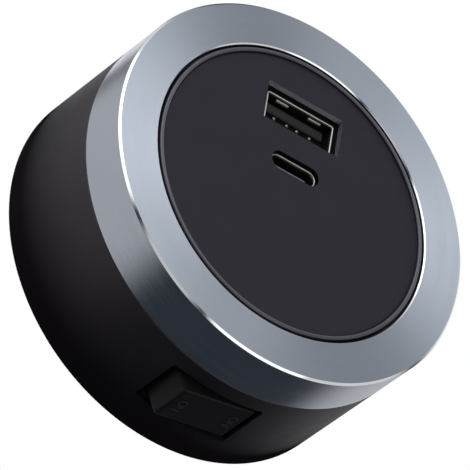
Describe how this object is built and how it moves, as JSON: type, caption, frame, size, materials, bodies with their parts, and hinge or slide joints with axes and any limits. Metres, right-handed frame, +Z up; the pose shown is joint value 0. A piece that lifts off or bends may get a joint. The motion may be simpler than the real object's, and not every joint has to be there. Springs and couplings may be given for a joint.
{
  "type": "track usb socket",
  "caption": "Round power-track puck with a type A and a type C charging port in its front, an aluminium trim ring, a rocker switch in its side and a quarter-turn track adapter.",
  "frame": {"origin": "middle of the rear seat, the face that stands against the track, on the puck's axis", "axes": "+Y out of the rear along the track adapter, -Y out of the front with the ports, +Z up from the switch to the type A port, +X right seen from the rear and left seen from the front"},
  "size_m": [0.066, 0.046, 0.0675],
  "materials": {
    "anodised_ring": "circular brushed, anodised",
    "black_plastic": "satin moulded",
    "face_plastic": "fine satin",
    "switch_plastic": "satin moulded",
    "case_plastic": "glass filled",
    "screw_steel": "zinc plated",
    "port_steel": "nickel plated sheet",
    "port_a_plastic": "moulded insulator",
    "port_c_plastic": "light blue moulded insulator",
    "gold_contact": "gold plated",
    "board_green": "solder mask over glass fibre",
    "chip_black": "moulded chip body",
    "header_black": "moulded strip",
    "tin_pin": "tinned",
    "ferrite": "sintered",
    "bobbin_plastic": "moulded",
    "winding_tape": "yellow tape over the winding",
    "can_sleeve": "shrink sleeve",
    "can_polymer": "bare can",
    "copper_wire": "enamelled copper",
    "fuse_glass": "glass tube with metal caps",
    "film_cap_yellow": "moulded box",
    "disc_cap_blue": "dipped disc",
    "spring_steel": "spring wire",
    "contact_brass": "stamped",
    "lead_black": "wire insulation",
    "lead_brown": "wire insulation",
    "lead_blue": "wire insulation",
    "lead_green": "wire insulation"
  },
  "bodies": {
    "socket": {"trim_ring": "anodised_ring", "housing": "black_plastic", "face_plate": "face_plastic", "back_cover": "black_plastic", "case_screws": "screw_steel", "usb_a_shell": "port_steel", "usb_a_insulator": "port_a_plastic", "usb_a_contacts": "gold_contact", "usb_c_shell": "port_steel", "usb_c_insulator": "port_c_plastic", "usb_c_contacts": "gold_contact", "output_board": "board_green", "output_board_screws": "screw_steel", "charge_chip": "chip_black", "power_board": "board_green", "power_board_screws": "screw_steel", "board_header": "header_black", "header_pins": "tin_pin", "transformer_core": "ferrite", "transformer_bobbin": "bobbin_plastic", "transformer_winding": "winding_tape", "input_capacitors": "can_sleeve", "output_capacitor": "can_polymer", "choke_core": "ferrite", "choke_winding": "copper_wire", "fuse": "fuse_glass", "x_capacitor": "film_cap_yellow", "y_capacitor": "disc_cap_blue", "bridge_rectifier": "chip_black", "switching_chip": "chip_black", "optocoupler": "chip_black", "switch_case": "case_plastic", "common_terminal": "contact_brass", "load_terminal": "contact_brass", "switch_leads": "lead_black", "tongue_body": "black_plastic", "tongue_cap": "black_plastic", "tongue_screws": "screw_steel", "tongue_cap_screws": "screw_steel", "live_spring": "spring_steel", "neutral_spring": "spring_steel", "earth_spring": "spring_steel", "live_lead": "lead_brown", "neutral_lead": "lead_blue", "earth_lead": "lead_green"},
    "rocker": {"rocker": "switch_plastic", "plunger_spring": "spring_steel"},
    "plunger": {"rocker_plunger": "bobbin_plastic"},
    "see_saw": {"moving_contact": "contact_brass"},
    "live_shoe": {"live_contact": "contact_brass"},
    "neutral_shoe": {"neutral_contact": "contact_brass"},
    "earth_plunger": {"earth_contact": "contact_brass"}
  },
  "joints": [
    {"name": "rocker_hinge", "type": "hinge", "parent": "socket", "child": "rocker", "pos_m": [0, -0.0126, -0.027], "axis": [0, 1, 0], "range_deg": [0, 22.4]},
    {"name": "contact_hinge", "type": "hinge", "parent": "socket", "child": "see_saw", "pos_m": [0, -0.0126, -0.02195], "axis": [0, 1, 0], "range_deg": [-16, 0]},
    {"name": "plunger_slide", "type": "slide", "parent": "rocker", "child": "plunger", "axis": [0.1942, 0, -0.981], "range_m": [0, 0.0004], "stiffness_N_per_m": 1500, "springref_m": -0.0005, "deforming": ["plunger_spring"]},
    {"name": "live_slide", "type": "slide", "parent": "socket", "child": "live_shoe", "axis": [0, 0, -1], "range_m": [0, 0.0012], "stiffness_N_per_m": 800, "springref_m": -0.0008, "deforming": ["live_spring"]},
    {"name": "neutral_slide", "type": "slide", "parent": "socket", "child": "neutral_shoe", "axis": [0, 0, 1], "range_m": [0, 0.0012], "stiffness_N_per_m": 800, "springref_m": -0.0008, "deforming": ["neutral_spring"]},
    {"name": "earth_slide", "type": "slide", "parent": "socket", "child": "earth_plunger", "axis": [0, -1, 0], "range_m": [0, 0.0015], "stiffness_N_per_m": 800, "springref_m": -0.0008, "deforming": ["earth_spring"]}
  ],
  "couplings": [
    {"joint": "contact_hinge", "follows": "rocker_hinge", "ratio": -0.71429}
  ]
}
